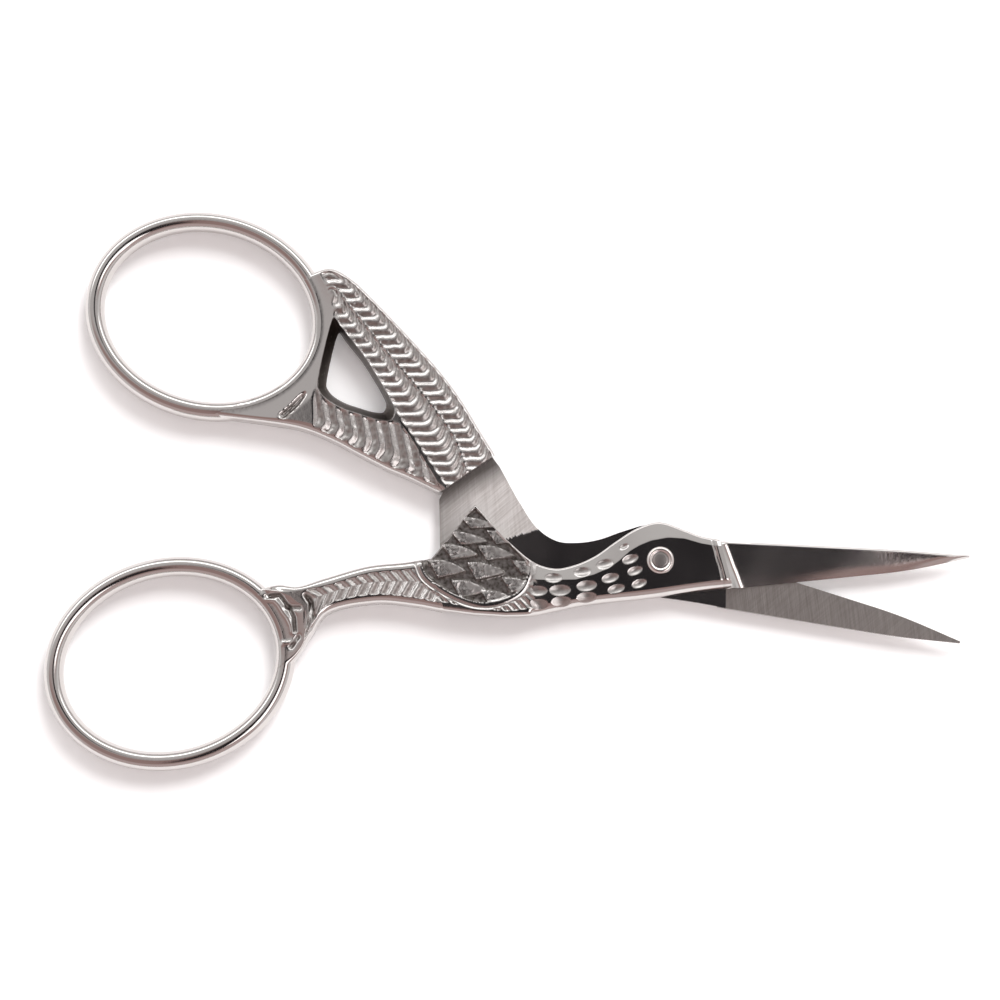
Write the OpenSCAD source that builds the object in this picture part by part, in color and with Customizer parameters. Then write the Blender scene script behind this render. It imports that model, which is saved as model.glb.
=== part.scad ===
// Stork embroidery scissors: two forged halves that cross at a riveted half-lap joint.
// Both halves are drawn with the blades shut and the pivot axis at the origin, +X to the tips.
// The rear half is then turned by the opening angle, and the lap plane is lifted to half thickness.

/* [Overall] */
// Thickness of the leg, the wing and the body at the lap
thickness = 3.2; // [2.8:0.1:4]
// Play between the two ground lap faces
lap_play = 0.06; // [0.04:0.01:0.12]
// Space between a lap step and the edge that shuts against it
step_gap = 0.3; // [0.2:0.05:0.5]
// Opening of the blades as the scissors lie at rest
open_angle = 16; // [10:1:40]

/* [Finger rings] */
// Length of the oval finger hole
hole_length = 21.2; // [18:0.2:25]
// Width of the oval finger hole
hole_width = 17.2; // [15:0.2:21]
// Width of the bar round a finger hole
ring_bar = 2; // [1.6:0.1:2.6]
// Height of the bar round a finger hole
ring_height = 2.8; // [2.4:0.1:3.2]
// Tilt of the front half's ring
front_tilt = 13; // [5:1:20]
// Tilt of the rear half's ring
rear_tilt = 0; // [-6:1:6]
// Space left between the two rings when the blades are shut
ring_space = 0.3; // [0.1:0.1:1]

/* [Blades] */
// Length of a blade from its collar to the tip
blade_length = 24.4; // [20:0.2:32]
// Width of a blade at the collar
blade_width = 4.7; // [4:0.1:5.2]
// Thickness of the spine at the collar
spine = 1.15; // [0.8:0.05:1.3]
// Thickness of the spine at the tip
tip_spine = 0.45; // [0.3:0.05:0.7]
// Flat left along the cutting edge
edge_land = 0.12; // [0.08:0.02:0.2]
// Bulge of the cutting edge past a straight line
edge_bulge = 0.45; // [0.2:0.05:0.8]

/* [Head and neck] */
// Distance from the pivot to the collar
head_length = 6.5; // [5.5:0.1:8]
// Height of the crown above the pivot
crown = 3.9; // [3.4:0.05:4.4]
// Distance from the pivot back to the body
neck_length = 12.9; // [11.5:0.1:15]
// Width of the neck at its narrowest
neck_width = 4.3; // [3.8:0.1:4.8]
// Width of the bevel along the back of the neck
bevel = 1.3; // [0.8:0.1:1.6]
// Fall of that bevel
bevel_fall = 0.7; // [0.4:0.05:0.9]

/* [Body and leg] */
// Length of the body from the neck to the leg
body_length = 10; // [9:0.1:12]
// Height of the body's tip above the pivot
body_tip = 5.6; // [5.2:0.1:6]
// Depth of the breast below the pivot
breast = 5.6; // [5.2:0.1:6.2]
// Length of the leg from the body to the claw
leg_length = 12.5; // [10:0.1:16]
// Width of the leg at its narrowest
leg_width = 3.65; // [3.3:0.1:4]

/* [Wing] */
// Length of the wing from the lap step to the ring
wing_length = 22; // [20:0.2:25]
// Share of the window's width that its drafted walls leave open
window_open = 0.76; // [0.6:0.02:0.9]

/* [Feathers] */
// Barbs in each row of the wing
wing_barbs = 17; // [12:1:22]
// Chevrons along the leg
leg_barbs = 13; // [8:1:15]
// Depth of the valleys between barbs
barb_depth = 0.3; // [0.15:0.05:0.4]
// Depth of the oval cuts on the neck
dimple_depth = 0.24; // [0.1:0.02:0.3]

/* [Pivot rivet] */
// Diameter of the rivet's shank
shank_d = 1.8; // [1.4:0.1:2.2]
// Diameter of the domed head
rivet_head_d = 2.7; // [2.4:0.1:3.2]
// Height of the dome
dome_h = 0.5; // [0.3:0.05:0.7]
// Diameter of the countersunk tail
tail_d = 2.6; // [2.4:0.1:3]
// Play of the front half on the shank and under the dome
pivot_play = 0.03; // [0.02:0.01:0.06]

/* [Hidden] */
half = thickness / 2;
lap = lap_play / 2;
body_x = -neck_length - body_length;
claw_x = body_x - leg_length;
collar_top = [head_length - 0.6, 0.45 * blade_width];
collar_low = [head_length + 0.7, -0.56 * blade_width];
tip = [collar_low[0] + blade_length - 0.7, 0.5];
round_steps = 52;
bar_steps = 12;

function mix(a, b, t) = a + (b - a) * t;
function turn(v, a) = [v[0] * cos(a) - v[1] * sin(a), v[0] * sin(a) + v[1] * cos(a)];
function unit(v) = v / norm(v);
function toward(a, b, d) = a + unit(b - a) * d;
function raise(p, z) = [p[0], p[1], z];
function swell(t) = 4 * t * (1 - t);

// Point at t from 0 to 1 on the smooth curve through a list of points
function on_curve(p, t) =
    let (last = len(p) - 1)
    let (s = max(0, min(0.99999, t)) * last)
    let (i = floor(s))
    let (u = s - i)
    let (a = i > 0 ? p[i - 1] : 2 * p[0] - p[1])
    let (d = i < last - 1 ? p[i + 2] : 2 * p[last] - p[last - 1])
    let (m = (p[i + 1] - a) / 2)
    let (n = (d - p[i]) / 2)
    p[i] + m * u + (3 * (p[i + 1] - p[i]) - 2 * m - n) * u ^ 2
        + (2 * (p[i] - p[i + 1]) + m + n) * u ^ 3;

// Solid through rings of points that all hold the same number, capped unless it closes on itself
module loft(rings, closed = false) {
    n = len(rings[0]);
    m = len(rings);
    spans = closed ? m - 1 : m - 2;
    sides = [
        for (i = [0:spans], j = [0:n - 1])
            let (a = i * n, b = ((i + 1) % m) * n, k = (j + 1) % n)
            each [[a + j, b + j, b + k], [a + j, b + k, a + k]]
    ];
    e = (m - 1) * n;
    caps = closed ? [] : [
        for (j = [0:ceil(n / 2) - 2])
            let (k = n - 1 - j)
            each [
                [j, j + 1, k], [e + j, e + k, e + j + 1],
                if (k - 1 > j + 1) each [[j + 1, k - 1, k], [e + j + 1, e + k, e + k - 1]]
            ]
    ];
    polyhedron([for (ring = rings) each ring], concat(sides, caps));
}

// The bar of a finger ring, at an angle round the hole and a distance out from its wall
function ring_at(centre, tilt, a, out) =
    centre + turn([(hole_length / 2 + out) * cos(a), (hole_width / 2 + out) * sin(a)], tilt);
function ring_half_height(tilt) =
    norm([(hole_length / 2 + ring_bar) * sin(tilt), (hole_width / 2 + ring_bar) * cos(tilt)]);
front_ring = [claw_x - 2.5, -6.1] - turn([
    (hole_length + ring_bar) / 2 * cos(9),
    (hole_width + ring_bar) / 2 * sin(9)
], front_tilt);
step_mid = [body_x + 2.05, 3.1];
rear_ring = [
    step_mid[0] - 0.82 * wing_length - (hole_length + ring_bar) / 2,
    front_ring[1] + ring_half_height(front_tilt) + ring_half_height(rear_tilt) + ring_space
];

module finger_ring(centre, tilt) {
    loft([
        for (i = [0:round_steps - 1])
            let (a = 360 * i / round_steps)
            [
                for (k = [0:bar_steps - 1])
                    let (b = 360 * (k + 0.5) / bar_steps)
                    let (out = ring_bar * (0.5 + 0.5 * sin(b)))
                    raise(ring_at(centre, tilt, a, out), ring_height / 2 * cos(b))
            ]
    ], closed = true);
}

// Upper and lower edge of the neck and head, from the shoulder to the collar
shoulder_x = body_x + 0.75 * body_length;
low_edge = -5.07;
neck_back = [
    [shoulder_x, 2.2],
    [-neck_length, 0.05],
    [-0.82 * neck_length, low_edge + neck_width],
    [-0.66 * neck_length, low_edge + neck_width + 0.35],
    [-0.5 * neck_length, 0.5],
    [-0.34 * neck_length, 1.95],
    [-0.17 * neck_length, 3.3],
    [0, crown],
    [0.37 * head_length, crown - 0.8],
    [0.63 * head_length, 2.45],
    collar_top
];
neck_front = [
    [shoulder_x, -breast],
    [-neck_length, 0.1 - breast],
    [-0.83 * neck_length, low_edge],
    [-0.66 * neck_length, -4.6],
    [-0.5 * neck_length, -4.28],
    [-0.34 * neck_length, -4.05],
    [-0.17 * neck_length, -3.83],
    [0, -3.55],
    [0.35 * head_length, -3.2],
    [0.7 * head_length, -2.9],
    collar_low
];
bird_steps = 34;
feather_bed = 0.3;

// Heights across the neck and body: a rim, a sunk feather bed, a bevel along the back
function bird_ring(up, low, body, ease, drop) =
    let (top = half - drop)
    let (bed = top - feather_bed * body)
    let (fall = mix(bevel_fall * ease, 0.35, body))
    let (wide = min(mix(bevel * ease, 0.8, body), norm(up - low) / 3))
    [
        raise(up, lap),
        raise(up, top - fall),
        raise(toward(up, low, 0.25 * wide), mix(top - 0.75 * fall, top, body)),
        raise(toward(up, low, wide), mix(top, bed, body)),
        raise(toward(low, up, 0.9), bed),
        raise(toward(low, up, 0.45), top),
        raise(low, top - 0.5),
        raise(low, lap)
    ];

// The bevel narrows from the pivot to the collar
function collar_ease(t) = 1 - 1.9 * max(0, t - 0.7);

module bird(end_pairs) {
    grooves = [[0.945, 0], [0.965, 0.14], [0.98, 0], [0.994, 0.03], [1, 0.22]];
    loft([
        for (pair = end_pairs) bird_ring(pair[0], pair[1], pair[2], 1, 0),
        for (i = [0:bird_steps])
            let (t = 0.93 * i / bird_steps)
            bird_ring(on_curve(neck_back, t), on_curve(neck_front, t), max(0, 1 - 9 * t), collar_ease(t), 0),
        for (g = grooves)
            bird_ring(on_curve(neck_back, g[0]), on_curve(neck_front, g[0]), 0, collar_ease(g[0]), g[1])
    ]);
}

// Overlapping feathers on the body, each a low pyramid with its crest near the tip
module feather(at, long, wide) {
    base = -feather_bed - 0.05;
    translate([at[0], at[1], half]) rotate(-10) polyhedron(
        [[-long, 0, base], [-0.35 * long, wide / 2, base], [0, 0, base],
            [-0.35 * long, -wide / 2, base], [-0.2 * long, 0, -0.02]],
        [[3, 2, 1, 0], [4, 0, 1], [4, 1, 2], [4, 2, 3], [4, 3, 0]]);
}

// Four slanting columns of feathers: tip of the first, length, and how many
module body_feathers() {
    columns = [[[4.5, 3.3], 1.8, 4], [[6.5, 2], 2.5, 4], [[8.4, 0.3], 2.6, 3], [[10.1, -1], 2.5, 3]];
    for (c = columns, r = [0:c[2] - 1])
        feather([body_x + c[0][0] - 0.85 * r, c[0][1] - 1.45 * r], c[1], 1.5);
}

// Three rows of oval cuts: start along the neck, share of its width, and how many
module neck_dimples() {
    rows = [[0.06, 0.22, 6], [0.125, 0.47, 5], [0.2, 0.75, 4]];
    for (row = rows, i = [0:row[2] - 1])
        let (t = row[0] + 0.107 * i, share = row[1])
        let (up = on_curve(neck_back, t), low = on_curve(neck_front, t))
        let (ahead = on_curve(neck_back, t + 0.02) - up + on_curve(neck_front, t + 0.02) - low)
        let (at = mix(low, up, share))
        let (sink = max(0, bevel / norm(up - low) - 1 + share) * norm(up - low) * bevel_fall / bevel)
        translate([at[0], at[1], half - sink])
            rotate(atan2(ahead[1], ahead[0]))
                scale([0.95, 0.48, dimple_depth]) sphere(1, $fn = 12);
}

// A blade: flat inner face, thick spine, outer face ground down to the cutting edge
module blade(spine_line, edge_line, spine_up) {
    steps = 14;
    loft([
        for (i = [0:steps])
            let (t = i / steps)
            let (back = on_curve(spine_line, t), edge = on_curve(edge_line, t))
            let (high = lap + mix(spine, tip_spine, t), low = lap + edge_land)
            let (soft = toward(back, edge, min(0.3, norm(edge - back) / 3)))
            spine_up
                ? [raise(back, lap), raise(back, high - 0.25), raise(soft, high), raise(edge, low), raise(edge, lap)]
                : [raise(edge, lap), raise(edge, low), raise(soft, high), raise(back, high - 0.25), raise(back, lap)]
    ]);
}

function bowed(a, b, bulge) = [a, mix(a, b, 0.5) + [0, 0.8 * bulge], mix(a, b, 0.75) + [0, bulge], b];
tip_half = 0.12;
root_back = [-0.5, -0.1];

// Chevron leg between the lap step and the claw
leg_top = [
    ring_at(front_ring, front_tilt, 34, ring_bar / 2),
    [claw_x - 2.7, -2.4],
    [claw_x - 0.6, -2.55],
    [claw_x + 2, -1.75],
    [mix(claw_x, body_x, 0.5), -4.2 + leg_width],
    [mix(claw_x, body_x, 0.8), -0.15],
    [body_x - step_gap, 0.2]
];
leg_mid = [
    ring_at(front_ring, front_tilt, 6, ring_bar / 2),
    [claw_x - 0.6, -6.2],
    [claw_x + 0.6, -4.4],
    [claw_x + 2.6, -3.4],
    [mix(claw_x, body_x, 0.53), -4.2 + 0.5 * leg_width],
    [mix(claw_x, body_x, 0.83), -2.3],
    [body_x + 0.6 - step_gap, -2.4]
];
leg_low = [
    ring_at(front_ring, front_tilt, -26, ring_bar / 2),
    [claw_x - 0.5, -9.5],
    [claw_x + 0.8, -7.4],
    [claw_x + 2.6, -5.1],
    [mix(claw_x, body_x, 0.56), -4.2],
    [mix(claw_x, body_x, 0.85), -4.45],
    [body_x + 1.5 - step_gap, -5]
];

// One line across the leg, its middle drawn ahead to make a chevron
function leg_ring(t, valley) =
    let (up = on_curve(leg_top, t), low = on_curve(leg_low, t))
    let (mid = on_curve(leg_mid, t + 0.085 * swell(t)))
    let (full = half * mix(0.55, 1, min(1, t * 8)))
    let (cut = full - valley)
    let (over = [
        raise(up, 0.6 * full),
        raise(toward(up, mid, 0.35), full),
        raise(toward(up, mid, 0.6), cut),
        raise(mid, cut),
        raise(toward(low, mid, 0.9), cut),
        raise(toward(low, mid, 0.6), full),
        raise(low, 0.55 * full)
    ])
    concat(over, [for (i = [len(over) - 1:-1:0]) raise(over[i], -over[i][2])]);

module leg() {
    stations = 2 * leg_barbs;
    loft([
        for (t = [0, 0.06, 0.12, 0.18]) leg_ring(t, 0),
        for (i = [0:stations]) leg_ring(0.22 + 0.74 * i / stations, i % 2 == 1 ? barb_depth : 0),
        leg_ring(1, 0)
    ]);
}

// Curves of the wing: share of its length from the lap step, and distance off its chord
wing_angle = 153.4;
function wing_at(share, off) = step_mid + turn([share * wing_length, -off], wing_angle);
function wing_line(points, ring_angle, out = 0.5) = concat(
    [ring_at(rear_ring, rear_tilt, ring_angle, out * ring_bar)],
    [for (p = points) wing_at(p[0], p[1])]
);
wing_outer = wing_line([[1.11, 6], [1, 6.7], [0.86, 6.65], [0.69, 6.4], [0.53, 6.1], [0.38, 5.7],
    [0.24, 5.05], [0.095, 4.1], [-0.035, 3.3]], 44);
wing_rib = wing_line([[1.04, 4.8], [0.93, 4.6], [0.77, 4.05], [0.62, 3.55], [0.5, 3.25], [0.38, 2.9],
    [0.26, 2.4], [0.14, 1.7], [0, 0.1]], 29);
wing_inner = wing_line([[0.97, 2.7], [0.87, 2.35], [0.72, 1.85], [0.585, 1.05], [0.495, 0.43], [0.4, -0.38],
    [0.3, -0.85], [0.187, -1.5], [0.025, -2.4]], 13);
wing_under = wing_line([[0.8, -3.75], [0.72, -4.1], [0.63, -3.75], [0.54, -2.9], [0.465, -2.1], [0.385, -1],
    [0.29, -1.25], [0.18, -1.95], [0.03, -2.85]], -23);
wing_low = wing_line([[0.85, -10.06], [0.694, -7.85], [0.552, -6.65], [0.438, -6], [0.346, -5.46],
    [0.273, -5], [0.2, -4.4], [0.12, -3.85], [0.04, -3.3]], -74, 0.8);

// One line across the wing, its barbs swept forward on the outer rows
function wing_ring(t, valley) =
    let (sweep = 0.13 * swell(t))
    let (outer = on_curve(wing_outer, t + sweep), rib = on_curve(wing_rib, t))
    let (inner = on_curve(wing_inner, t - sweep), under = on_curve(wing_under, t))
    let (low = on_curve(wing_low, t))
    let (full = half * mix(0.55, 1, min(1, t * 12)), cut = full - valley)
    let (low_cut = t < 0.2 ? full : cut)
    let (over = [
        raise(outer, 0.6 * full),
        raise(toward(outer, rib, 0.45), full),
        raise(toward(outer, rib, 0.8), cut),
        raise(toward(rib, outer, 0.25), cut),
        raise(rib, full),
        raise(mix(rib, inner, 0.2), cut),
        raise(mix(rib, inner, 0.85), cut),
        raise(inner, full),
        raise(under, full),
        raise(mix(under, low, 0.15), low_cut),
        raise(toward(low, under, 0.85), low_cut),
        raise(toward(low, under, 0.5), full),
        raise(low, 0.6 * full)
    ])
    concat(over, [for (i = [len(over) - 1:-1:0]) raise(over[i], -over[i][2])]);

module wing() {
    stations = 2 * wing_barbs;
    loft([
        wing_ring(0, 0),
        wing_ring(0.05, 0),
        wing_ring(0.1, 0),
        for (i = [0:stations]) wing_ring(0.13 + 0.83 * i / stations, i % 2 == 1 ? barb_depth : 0),
        wing_ring(1, 0)
    ]);
}

// Window between the wing's two bands, wider at each face than at half thickness
module wing_window() {
    outline = concat(
        [for (i = [0:5]) on_curve(wing_inner, 0.12 + 0.104 * i)],
        [for (i = [5:-1:0]) on_curve(wing_under, 0.12 + 0.104 * i)]
    );
    middle = mix(outline[2], outline[9], 0.4);
    rise = half + 0.2;
    for (side = [0, 1]) mirror([0, 0, side]) translate([middle[0], middle[1], 0])
        rotate([180, 0, 0]) translate([0, 0, -rise])
            linear_extrude(rise + 0.01, scale = window_open)
                polygon([for (p = outline) [p[0] - middle[0], middle[1] - p[1]]]);
}

body_edge_low = [body_x + 0.15, 0.25];
body_edge_top = [body_x + 4.5, body_tip];

// All that is forged in one piece, at its own size, as a single skin
module forging() {
    resize([0, 0, 0]) union() children();
}

module front_half() {
    end_pairs = [
        [[body_x - 1.2, -0.2], [body_x - 0.6, -4.3], 0.6],
        [body_edge_low, [body_x + 1, -4.85], 1],
        [mix(body_edge_low, body_edge_top, 0.5), [body_x + 2.9, -5.15], 1],
        [body_edge_top, [body_x + 4.4, -5.4], 1]
    ];
    color([0.8, 0.79, 0.78]) translate([0, 0, half]) difference() {
        forging() {
            finger_ring(front_ring, front_tilt);
            leg();
            difference() {
                bird(end_pairs);
                neck_dimples();
            }
            body_feathers();
            blade(
                bowed(collar_top + root_back, tip + [0, tip_half], 0.15),
                bowed(collar_low + root_back, tip - [0, tip_half], -edge_bulge),
                true
            );
        }
        translate([0, 0, -half]) cylinder(d = shank_d + 2 * pivot_play, h = 2 * thickness, $fn = 48);
    }
}

module rear_half() {
    end_pairs = [
        [[body_x, 0], [body_x + 1.5, -4.95], 1],
        [[body_x + 0.3, 1.6], [body_x + 2.6, -5.15], 1],
        [[body_x + 2.2, 4.2], [body_x + 3.6, -5.3], 1],
        [[body_x + 3.9, 5.6], [body_x + 4.3, -5.4], 1],
        [[body_x + 4.9, 4.85], [body_x + 5.2, -5.5], 1]
    ];
    color([0.78, 0.77, 0.76]) translate([0, 0, half]) rotate(-open_angle) difference() {
        forging() {
            finger_ring(rear_ring, rear_tilt);
            difference() {
                wing();
                wing_window();
            }
            mirror([0, 0, 1]) {
                difference() {
                    bird(end_pairs);
                    neck_dimples();
                }
                body_feathers();
                blade(
                    bowed(collar_low + root_back, tip - [0, tip_half], -0.25),
                    bowed(collar_top + root_back, tip + [0, tip_half], edge_bulge),
                    false
                );
            }
        }
        translate([0, 0, -thickness]) cylinder(d = shank_d, h = 2 * thickness, $fn = 48);
        translate([0, 0, -half]) cylinder(d1 = tail_d, d2 = shank_d, h = (tail_d - shank_d) / 2, $fn = 48);
    }
}

// The rivet is peened flush behind the rear half and domed in front of the front half
module pivot_rivet() {
    seat = thickness + pivot_play;
    color([0.86, 0.85, 0.84]) {
        cylinder(d = shank_d, h = seat, $fn = 48);
        cylinder(d1 = tail_d, d2 = shank_d, h = (tail_d - shank_d) / 2, $fn = 48);
        translate([0, 0, seat]) rotate_extrude($fn = 48)
            polygon([
                [0, 0],
                [rivet_head_d / 2, 0],
                for (a = [10:10:80]) [rivet_head_d / 2 * cos(a), dome_h * sin(a)],
                [0, dome_h]
            ]);
    }
}

front_half();
rear_half();
pivot_rivet();
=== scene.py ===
import bpy
import numpy as np
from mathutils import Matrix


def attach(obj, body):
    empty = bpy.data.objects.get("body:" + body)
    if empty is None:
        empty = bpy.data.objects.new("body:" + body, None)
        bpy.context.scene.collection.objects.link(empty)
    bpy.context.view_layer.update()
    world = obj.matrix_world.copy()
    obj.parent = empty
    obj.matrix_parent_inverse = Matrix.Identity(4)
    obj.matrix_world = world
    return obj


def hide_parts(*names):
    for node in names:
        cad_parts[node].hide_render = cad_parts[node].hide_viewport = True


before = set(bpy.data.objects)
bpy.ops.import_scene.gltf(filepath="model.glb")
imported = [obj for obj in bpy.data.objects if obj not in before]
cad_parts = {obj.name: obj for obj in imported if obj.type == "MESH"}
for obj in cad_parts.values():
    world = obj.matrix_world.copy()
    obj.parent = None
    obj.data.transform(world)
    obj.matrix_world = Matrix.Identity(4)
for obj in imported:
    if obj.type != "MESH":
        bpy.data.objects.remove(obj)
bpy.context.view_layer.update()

# Shapes are worked out in millimetres with the blades shut, pivot at the origin and the lap plane at 0.
# Half a forging's thickness, clearance on each side of the lap plane, and angles in degrees.
overall = {"half": 1.6, "lap": 0.03, "openAngle": 16, "smoothAngle": 38}
halfThick, lapGap = overall["half"], overall["lap"]


def turned(x, y, angle):  # the point (x, y) turned about the origin, angle in degrees
    c, s = np.cos(np.radians(angle)), np.sin(np.radians(angle))
    return np.stack([x * c - y * s, x * s + y * c], -1)


def smooth(x):  # 0 below 0, 1 above 1, and 3x^2 - 2x^3 between
    x = np.clip(x, 0, 1)
    return x * x * (3 - 2 * x)


def bump(x, width):  # bell curve exp(-(x / width)^2)
    return np.exp(-(x / width) ** 2)


# Catmull-Rom curve: share 0 to 1 runs along the points at an even pace from point to point
def onCurve(points, share):
    p = np.asarray(points, float)
    s = np.clip(share, 0, 0.99999) * (len(p) - 1)
    i = np.floor(s).astype(int)
    u = (s - i)[..., None]
    q = np.vstack([2 * p[0] - p[1], p, 2 * p[-1] - p[-2]])
    a, b, c, d = q[i], q[i + 1], q[i + 2], q[i + 3]
    m, n = (c - a) / 2, (d - b) / 2
    return b + m * u + (3 * (c - b) - 2 * m - n) * u ** 2 + (2 * (b - c) + m + n) * u ** 3


# Straight-sided path: share 0 to 1 of its length
def onPath(points, share):
    p = np.asarray(points, float)
    run = np.concatenate([[0], np.cumsum(np.linalg.norm(np.diff(p, axis=0), axis=1))])
    at = np.clip(share, 0, 1) * run[-1]
    return np.stack([np.interp(at, run, p[:, 0]), np.interp(at, run, p[:, 1])], -1)


# Distance from each point to a dense line of points, least of all
def nearLine(xy, line):
    flat = xy.reshape(-1, 2)
    best = np.full(len(flat), 1e9)
    for p, q in zip(line[:-1], line[1:]):
        along = q - p
        t = np.clip(((flat - p) @ along) / max(along @ along, 1e-9), 0, 1)
        best = np.minimum(best, np.linalg.norm(flat - p - t[:, None] * along, axis=1))
    return best.reshape(xy.shape[:-1])


# Closed skin over a grid of rings: quads between neighbours, and at each end a strip of triangles that
# joins the first `upper` points of the ring to the others. Turned inside out if its volume is negative.
def skin(name, grid, valley, loop=False, upper=None):
    n, m = grid.shape[:2]
    i, j = np.meshgrid(np.arange(n if loop else n - 1), np.arange(m), indexing="ij")
    here, beyond, beside = i * m, ((i + 1) % n) * m, (j + 1) % m
    quads = np.stack([here + j, beyond + j, beyond + beside, here + beside], -1).reshape(-1, 4)
    upper = upper or m // 2
    lower = m - upper
    triangles, a, b = [], 0, 0  # a and b count the points passed on the strip's two sides
    while not loop and (a < upper - 1 or b < lower - 1):
        if b == lower - 1 or (a < upper - 1 and (a + 1) * (lower - 1) <= (b + 1) * (upper - 1)):
            triangles.append((a, a + 1, m - 1 - b))
            a += 1
        else:
            triangles.append((a, m - 2 - b, m - 1 - b))
            b += 1
    triangles = np.array(triangles, int).reshape(-1, 3)
    triangles = np.vstack([triangles, (triangles + (n - 1) * m)[:, ::-1]])
    verts = grid.reshape(-1, 3)
    p, q, r, s = (verts[quads[:, corner]] for corner in range(4))
    volume = np.einsum("ij,ij->", p, np.cross(q, r)) + np.einsum("ij,ij->", p, np.cross(r, s))
    if volume < 0:
        quads, triangles = quads[:, ::-1], triangles[:, ::-1]
    corners = np.concatenate([quads.ravel(), triangles.ravel()])
    starts = np.concatenate([np.arange(0, quads.size, 4), quads.size + np.arange(0, triangles.size, 3)])
    mesh = bpy.data.meshes.new(name)
    mesh.vertices.add(len(verts))
    mesh.vertices.foreach_set("co", verts.ravel())
    mesh.loops.add(len(corners))
    mesh.loops.foreach_set("vertex_index", corners)
    mesh.polygons.add(len(starts))
    mesh.polygons.foreach_set("loop_start", starts)
    mesh.update(calc_edges=True)
    mark = mesh.attributes.new("valley", "FLOAT", "POINT")
    mark.data.foreach_set("value", np.broadcast_to(valley, grid.shape[:2]).ravel().astype(np.float32))
    return mesh


# One closed skin from several that overlap, less some others
def welded(name, added, cut=()):
    holders = [bpy.data.objects.new(name, mesh) for mesh in [*added, *cut]]
    for holder in holders:
        bpy.context.scene.collection.objects.link(holder)
    body = holders[0]
    for k, other in enumerate(holders[1:], 1):
        step = body.modifiers.new("join", "BOOLEAN")
        step.solver = "MANIFOLD"
        step.operation = "UNION" if k < len(added) else "DIFFERENCE"
        step.object = other
    depsgraph = bpy.context.evaluated_depsgraph_get()
    whole = bpy.data.meshes.new_from_object(body.evaluated_get(depsgraph))
    for holder in holders:
        bpy.data.objects.remove(holder)
    return whole


# Places a skin: turned about the pivot, lifted by half thickness, millimetres to metres
def settled(mesh, angle):
    co = np.empty(len(mesh.vertices) * 3)
    mesh.vertices.foreach_get("co", co)
    co = co.reshape(-1, 3)
    flat = turned(co[:, 0], co[:, 1], angle)
    co = np.column_stack([flat, co[:, 2] + halfThick]) * 0.001
    mesh.vertices.foreach_set("co", co.ravel())
    mesh.update()


# Uneven skin of a casting: the sum of sine waves that run all ways, over the root of their number
casting = {"seed": 7, "waves": 20, "shortest": 0.4, "longest": 1.1}
draws = np.random.default_rng(casting["seed"])
waveAngle = draws.uniform(0, 6.28, casting["waves"])
waveNumber = 6.28 / draws.uniform(casting["shortest"], casting["longest"], casting["waves"])
wavePhase = draws.uniform(0, 6.28, casting["waves"])


def cast(xy):
    total = sum(np.sin(k * (xy[..., 0] * np.cos(w) + xy[..., 1] * np.sin(w)) + p)
                for w, k, p in zip(waveAngle, waveNumber, wavePhase))
    return total / casting["waves"] ** 0.5


# Finger rings: widths of the oval hole, the bar's section, and where each ring lies with the blades shut
rings = {
    "hole": (21.2, 17.2), "bar": 2.0, "height": 2.8, "squareness": 1.12, "trim": 0.965,
    "front": {"centre": (-48.726, -10.141), "tilt": 13},
    "rear": {"centre": (-50.49, 11.470), "tilt": 0},
    "steps": 260, "barSteps": 32, "climbStart": 0.2, "sunk": 0.002,
}


# Point at an angle round a ring: an ellipse whose half axes are those of the hole, each longer by out
def onRing(ring, angle, out):
    a = np.radians(angle)
    x = (rings["hole"][0] / 2 + out) * np.cos(a)
    y = (rings["hole"][1] / 2 + out) * np.sin(a)
    return turned(x, y, ring["tilt"]) + ring["centre"]


# Bar swept round the oval hole. Its section is a rounded oval: out = bar/2 (1 + trim * side) and
# height = half height * rise, where side and rise are sin b and cos b to the power 1/squareness, signs kept.
def ringSkin(name, ring):
    angle, b = np.meshgrid(
        np.linspace(0, 360, rings["steps"], endpoint=False),
        np.radians(np.linspace(0, 360, rings["barSteps"], endpoint=False)), indexing="ij")
    power = 1 / rings["squareness"]
    side, rise = (np.sign(wave) * np.abs(wave) ** power for wave in (np.sin(b), np.cos(b)))
    out = rings["bar"] / 2 * (1 + rings["trim"] * side)
    return skin(name, np.dstack([onRing(ring, angle, out), rings["height"] / 2 * rise]), 0.0, loop=True)


# Distance of a point outside the middle line of a ring's bar, less than 0 inside it: f (f - 1) over the
# length of (x / a^2, y / b^2), where f is the length of (x / a, y / b) and a, b are the half axes
def fromBar(xy, ring):
    x, y = np.moveaxis(turned(*np.moveaxis(xy - ring["centre"], -1, 0), -ring["tilt"]), -1, 0)
    a, b = (h / 2 + rings["bar"] / 2 for h in rings["hole"])
    far = np.sqrt((x / a) ** 2 + (y / b) ** 2)
    return (far - 1) * far / np.sqrt(x ** 2 / a ** 4 + y ** 2 / b ** 4)


# Height of a strip that leaves a ring: half height * (1 - |s|^p)^(1/p) up to the bar's crest, where s is 0,
# and from there a smooth step to full thickness. It lies a hair under the bar's own skin.
def leaving(xy, ring, climb):
    s = fromBar(xy, ring)
    power = 2 * rings["squareness"]
    crest = rings["height"] / 2 * (1 - np.clip(-s, 0, 0.95) ** power) ** (1 / power)
    rise = (halfThick - rings["height"] / 2) * smooth((s - rings["climbStart"]) / climb)
    return crest + rise - rings["sunk"]


# Rows across a strip, closer together near its edges: share - crowding * sin(2 pi share) / (2 pi)
def across(count, crowding=0.4):
    s = np.linspace(0, 1, count)
    return s - crowding * np.sin(2 * np.pi * s) / (2 * np.pi)


def rounded(d, wide, fall=None):  # drop of a quarter-ellipse edge at distance d in from its outline
    x = np.clip(1 - d / wide, 0, 1)
    return (fall or wide) * (1 - np.sqrt(1 - x ** 2))


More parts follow.
